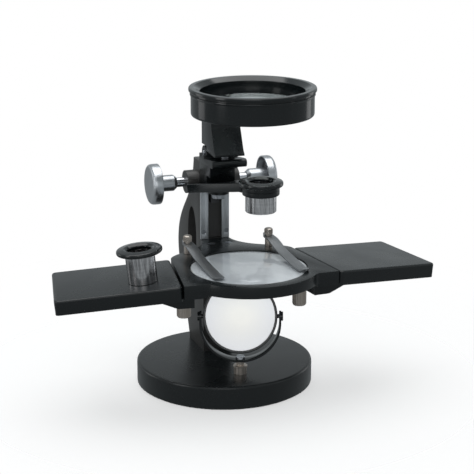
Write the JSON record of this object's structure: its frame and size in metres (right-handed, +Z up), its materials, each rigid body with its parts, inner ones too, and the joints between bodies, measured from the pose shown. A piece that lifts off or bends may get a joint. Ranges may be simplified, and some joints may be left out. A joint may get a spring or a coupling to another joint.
{
  "type": "dissecting microscope",
  "caption": "Stand on a round base with a glass stage, swinging mirror, sloping hand rests, stage clips, a racked head with a small lens on an arm, and a large folding lens above.",
  "frame": {"origin": "centre of the underside of the base, on the surface it stands on", "axes": "+Z up, +X to the user's right along the two hand rests, +Y away from the user, towards the upright"},
  "size_m": [0.2818, 0.1868, 0.2325],
  "materials": {
    "foot_pad": "matt black rubber sheet",
    "black_enamel": "smooth gloss black stoved enamel on metal",
    "black_moulding": "polished black moulding",
    "machined_steel": "bright machined steel with fine tool lines",
    "brass": "cut brass, lightly oiled",
    "chrome": "bright chromium plate",
    "nickel": "knurled, warm nickel plate",
    "satin_aluminium": "turned aluminium, satin with fine rings",
    "lens_glass": "clear polished optical glass",
    "stage_glass": "clear plate glass with a pale blue cast",
    "mirror": "silvered mirror glass"
  },
  "bodies": {
    "stand": {"base_pad": "foot_pad", "base_disc": "black_enamel", "base_screws": "machined_steel", "limb": "black_enamel", "guide_strips": "machined_steel", "guide_screws": "machined_steel", "bush_left": "chrome", "bush_right": "chrome", "stage_plate": "black_enamel", "stage_glass": "stage_glass", "stage_screws": "machined_steel", "mirror_post": "nickel"},
    "mirror_fork": {"fork_strap": "black_enamel", "fork_screw": "chrome", "mirror_pivots": "black_enamel"},
    "mirror": {"mirror_cell": "black_enamel", "mirror_glass_concave": "mirror", "mirror_glass_plane": "mirror"},
    "focus_head": {"slide_block": "black_enamel", "rack": "machined_steel", "rack_screws": "machined_steel", "bracket_pin": "machined_steel", "tilt_stop_screw": "machined_steel", "arm_pivot_screw": "machined_steel", "arm_pivot_washer": "machined_steel"},
    "pinion": {"pinion_gear": "brass", "pinion_shaft": "machined_steel", "knob_left": "satin_aluminium", "knob_right": "satin_aluminium", "knob_grub_screws": "machined_steel"},
    "lens_arm": {"arm_plate": "black_enamel", "arm_ring": "black_enamel"},
    "eye_lens": {"lens_barrel": "chrome", "lens_retainer": "chrome", "lens_glass": "lens_glass", "lens_eyecup": "black_moulding"},
    "bull_lens": {"bull_bracket": "black_enamel", "bull_cell": "black_moulding", "bull_rim": "black_moulding", "bull_glass": "lens_glass", "bull_screws": "machined_steel"},
    "clip_left": {"clip_post_left": "nickel", "clip_blade_left": "machined_steel"},
    "clip_right": {"clip_post_right": "nickel", "clip_blade_right": "machined_steel"},
    "hand_rest_left": {"rest_board_left": "black_enamel", "rest_tongue_left": "black_enamel", "rest_screws_left": "machined_steel"},
    "hand_rest_right": {"rest_board_right": "black_enamel", "rest_tongue_right": "black_enamel", "rest_screws_right": "machined_steel"},
    "thumb_left": {"thumbscrew_left": "nickel", "thumb_washer_left": "machined_steel"},
    "thumb_right": {"thumbscrew_right": "nickel", "thumb_washer_right": "machined_steel"},
    "spare_lens": {"spare_barrel": "chrome", "spare_glass": "lens_glass", "spare_eyecup": "black_moulding"}
  },
  "joints": [
    {"name": "focus_slide", "type": "slide", "parent": "stand", "child": "focus_head", "axis": [0, 0, 1], "range_m": [-0.022, 0.012]},
    {"name": "pinion_turn", "type": "hinge", "parent": "stand", "child": "pinion", "pos_m": [0, 0.0306, 0.1468], "axis": [1, 0, 0], "range_deg": [-125, 228]},
    {"name": "arm_swivel", "type": "hinge", "parent": "focus_head", "child": "lens_arm", "pos_m": [0, 0.012, 0.144], "axis": [0, 0, 1], "range_deg": [-8, 25]},
    {"name": "eye_lens_lift", "type": "slide", "parent": "lens_arm", "child": "eye_lens", "axis": [0, 0, 1], "range_m": [0, 0.022]},
    {"name": "bull_fold", "type": "hinge", "parent": "focus_head", "child": "bull_lens", "pos_m": [0, 0.0125, 0.172], "axis": [-1, 0, 0], "range_deg": [0, 60]},
    {"name": "fork_turn", "type": "hinge", "parent": "stand", "child": "mirror_fork", "pos_m": [0, -0.037, 0.028], "axis": [0, 0, 1], "continuous": true},
    {"name": "mirror_turn", "type": "hinge", "parent": "mirror_fork", "child": "mirror", "pos_m": [0, -0.037, 0.0614], "axis": [0.9472, -0.3206, 0], "continuous": true},
    {"name": "clip_left_turn", "type": "hinge", "parent": "stand", "child": "clip_left", "pos_m": [-0.031, -0.01, 0.104], "axis": [0, 0, -1], "range_deg": [-15, 30]},
    {"name": "clip_right_turn", "type": "hinge", "parent": "stand", "child": "clip_right", "pos_m": [0.031, -0.01, 0.104], "axis": [0, 0, 1], "range_deg": [-15, 30]},
    {"name": "rest_left_slide", "type": "slide", "parent": "stand", "child": "hand_rest_left", "axis": [-0.9613, 0.2756, 0], "range_m": [0, 0.025]},
    {"name": "rest_right_slide", "type": "slide", "parent": "stand", "child": "hand_rest_right", "axis": [0.9613, 0.2756, 0], "range_m": [0, 0.025]},
    {"name": "thumb_left_turn", "type": "hinge", "parent": "stand", "child": "thumb_left", "pos_m": [-0.0437, -0.0414, 0.09], "axis": [0, 0, 1], "range_deg": [0, 720]},
    {"name": "thumb_right_turn", "type": "hinge", "parent": "stand", "child": "thumb_right", "pos_m": [0.0437, -0.0414, 0.09], "axis": [0, 0, 1], "range_deg": [0, 720]},
    {"name": "spare_lens_lift", "type": "slide", "parent": "hand_rest_left", "child": "spare_lens", "axis": [-0.1033, 0.0163, 0.9945], "range_m": [0, 0.03]}
  ],
  "couplings": [
    {"joint": "pinion_turn", "follows": "focus_slide", "rad_per_m": -178.57}
  ]
}
